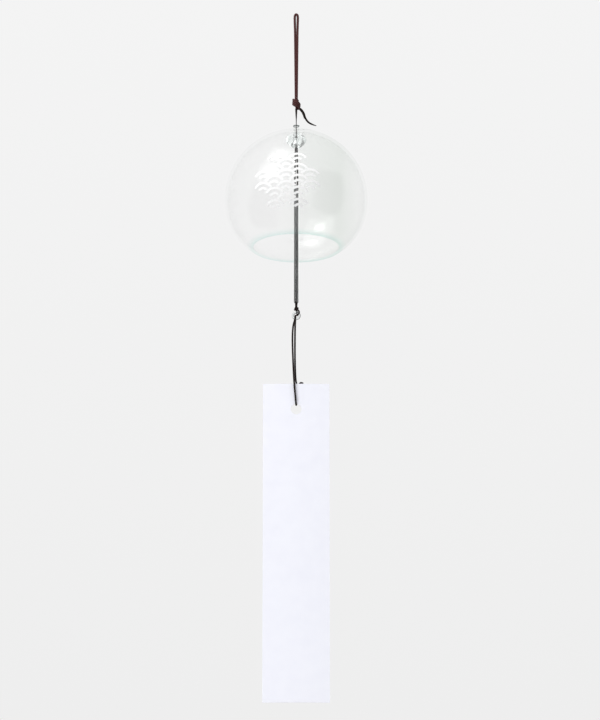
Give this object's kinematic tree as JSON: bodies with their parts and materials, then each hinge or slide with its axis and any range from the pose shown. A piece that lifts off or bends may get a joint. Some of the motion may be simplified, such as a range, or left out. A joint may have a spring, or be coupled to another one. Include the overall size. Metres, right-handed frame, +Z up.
{
  "type": "wind bell",
  "caption": "Hanging glass wind bell: cord loop and knot, clear globe with an open mouth, glass tube clapper, clear ring and a blank paper strip on a doubled cord.",
  "frame": {"origin": "inside top of the hanging cord loop, where it rests on its hook", "axes": "+Z up along the hanging cord, -Y towards the viewer of the strip's face, +X to the viewer's right"},
  "size_m": [0.08, 0.08, 0.4026],
  "materials": {
    "cord": "satin",
    "bell_glass": "polished",
    "tube_glass": "polished",
    "bead_glass": "polished",
    "clear_plastic": "gloss",
    "strip_paper": "matte"
  },
  "bodies": {
    "hanger": {"hanging_cord": "cord", "hanging_knot": "cord", "cord_ends": "cord"},
    "neck": {"neck_cord": "cord"},
    "bell": {"glass_bell": "bell_glass", "stopper_bead": "bead_glass", "cord_sleeve": "clear_plastic", "bead_cord": "cord"},
    "clapper_yoke": {"stopper_knot": "cord"},
    "clapper": {"clapper_cord": "cord", "clapper_tube": "tube_glass"},
    "ring": {"lower_knot": "cord", "ring_loop": "cord", "lower_ring": "clear_plastic"},
    "strip_loop": {"strip_cord": "cord", "strip_knot": "cord", "strip_cord_end": "cord"},
    "strip": {"paper_strip": "strip_paper"}
  },
  "joints": [
    {"name": "bell_spin", "type": "hinge", "parent": "hanger", "child": "neck", "pos_m": [0, 0, -0.05785], "axis": [0, 0, 1], "continuous": true},
    {"name": "bell_swing", "type": "hinge", "parent": "neck", "child": "bell", "pos_m": [0, 0, -0.067], "axis": [1, 0, 0], "range_deg": [-25, 25]},
    {"name": "clapper_spin", "type": "hinge", "parent": "bell", "child": "clapper_yoke", "pos_m": [0, 0, -0.078], "axis": [0, 0, 1], "continuous": true},
    {"name": "clapper_swing", "type": "hinge", "parent": "clapper_yoke", "child": "clapper", "pos_m": [0, 0, -0.07968], "axis": [1, 0, 0], "range_deg": [-19, 19]},
    {"name": "strip_spin", "type": "hinge", "parent": "clapper", "child": "ring", "pos_m": [0, 0, -0.17443], "axis": [0, 0, 1], "continuous": true},
    {"name": "strip_swing", "type": "hinge", "parent": "ring", "child": "strip_loop", "pos_m": [0, 0, -0.18153], "axis": [1, 0, 0], "range_deg": [-60, 60]},
    {"name": "strip_tilt", "type": "hinge", "parent": "strip_loop", "child": "strip", "pos_m": [0, 0, -0.23185], "axis": [0, 1, 0], "range_deg": [-30, 30]}
  ]
}
